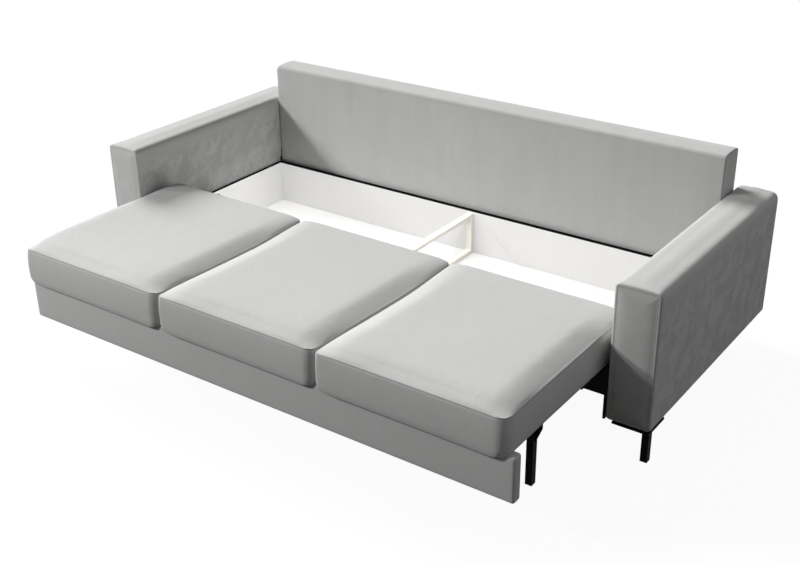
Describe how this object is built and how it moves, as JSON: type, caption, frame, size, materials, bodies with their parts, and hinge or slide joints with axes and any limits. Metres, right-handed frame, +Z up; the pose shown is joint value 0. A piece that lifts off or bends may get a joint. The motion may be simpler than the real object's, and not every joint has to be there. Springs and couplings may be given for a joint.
{
  "type": "sofa bed",
  "caption": "Upholstered sofa bed with a draw-out seat on runners and folding legs, a back that folds flat, box arms on steel feet and a bedding box under the seat.",
  "frame": {"origin": "on the floor, at the middle of the footprint of the sofa as it stands open, arms and drawn-out seat together", "axes": "+X along the sofa to the right arm as seen by someone who faces it, +Y to the back, +Z up"},
  "size_m": [2.48, 1.65, 0.768],
  "materials": {
    "velvet": "matte",
    "side_velvet": "matte",
    "black_steel": "satin",
    "black_board": "matte",
    "white_board": "satin",
    "light_wood": "matte",
    "frame_wood": "matte",
    "bare_steel": "satin",
    "black_plastic": "matte"
  },
  "bodies": {
    "base": {"arm_bolts": "bare_steel", "back_pivot_pins": "bare_steel", "centre_feet": "black_plastic", "divider_bottom_rail": "light_wood", "divider_front_post": "light_wood", "divider_rear_post": "light_wood", "divider_top_rail": "light_wood", "foot_glides": "black_plastic", "foot_screws": "bare_steel", "front_board": "black_board", "front_left_foot": "black_steel", "front_lining": "white_board", "front_right_foot": "black_steel", "left_arm_cover": "side_velvet", "left_arm_frame": "frame_wood", "left_arm_front_panel": "side_velvet", "left_base_rail": "black_steel", "left_side_board": "black_board", "left_side_lining": "white_board", "rail_packers": "frame_wood", "rear_board": "black_board", "rear_left_foot": "black_steel", "rear_lining": "white_board", "rear_right_foot": "black_steel", "right_arm_cover": "side_velvet", "right_arm_frame": "frame_wood", "right_arm_front_panel": "side_velvet", "right_base_rail": "black_steel", "right_side_board": "black_board", "right_side_lining": "white_board", "storage_floor": "white_board"},
    "carriage": {"left_middle_rail": "black_steel", "right_middle_rail": "black_steel"},
    "seat": {"apron_board": "frame_wood", "apron_padding": "velvet", "apron_plates": "black_steel", "centre_seat_cushion": "velvet", "left_seat_cross_rail": "frame_wood", "left_seat_cushion": "velvet", "left_seat_rail": "black_steel", "left_seat_side_rail": "frame_wood", "leg_brackets": "black_steel", "leg_pins": "bare_steel", "right_seat_cross_rail": "frame_wood", "right_seat_cushion": "velvet", "right_seat_rail": "black_steel", "right_seat_side_rail": "frame_wood", "seat_deck": "frame_wood", "seat_front_rail": "frame_wood", "seat_rail_screws": "bare_steel", "seat_rear_rail": "frame_wood"},
    "left_leg": {"left_folding_leg": "black_steel", "left_leg_cap": "black_plastic"},
    "right_leg": {"right_folding_leg": "black_steel", "right_leg_cap": "black_plastic"},
    "backrest": {"back_frame": "frame_wood", "back_padding": "velvet", "ear_screws": "bare_steel", "left_back_ear": "black_steel", "right_back_ear": "black_steel"}
  },
  "joints": [
    {"name": "carriage_slide", "type": "slide", "parent": "base", "child": "carriage", "axis": [0, 1, 0], "range_m": [0, 0.259]},
    {"name": "seat_slide", "type": "slide", "parent": "carriage", "child": "seat", "axis": [0, 1, 0], "range_m": [0, 0.44]},
    {"name": "back_fold", "type": "hinge", "parent": "base", "child": "backrest", "pos_m": [0, 0.673, 0.3225], "axis": [-1, 0, 0], "range_deg": [-90, 0]},
    {"name": "left_leg_fold", "type": "hinge", "parent": "seat", "child": "left_leg", "pos_m": [-0.975, -0.527, 0.325], "axis": [0, -1, 0], "range_deg": [0, 90]},
    {"name": "right_leg_fold", "type": "hinge", "parent": "seat", "child": "right_leg", "pos_m": [0.975, -0.527, 0.325], "axis": [0, 1, 0], "range_deg": [0, 90]}
  ]
}
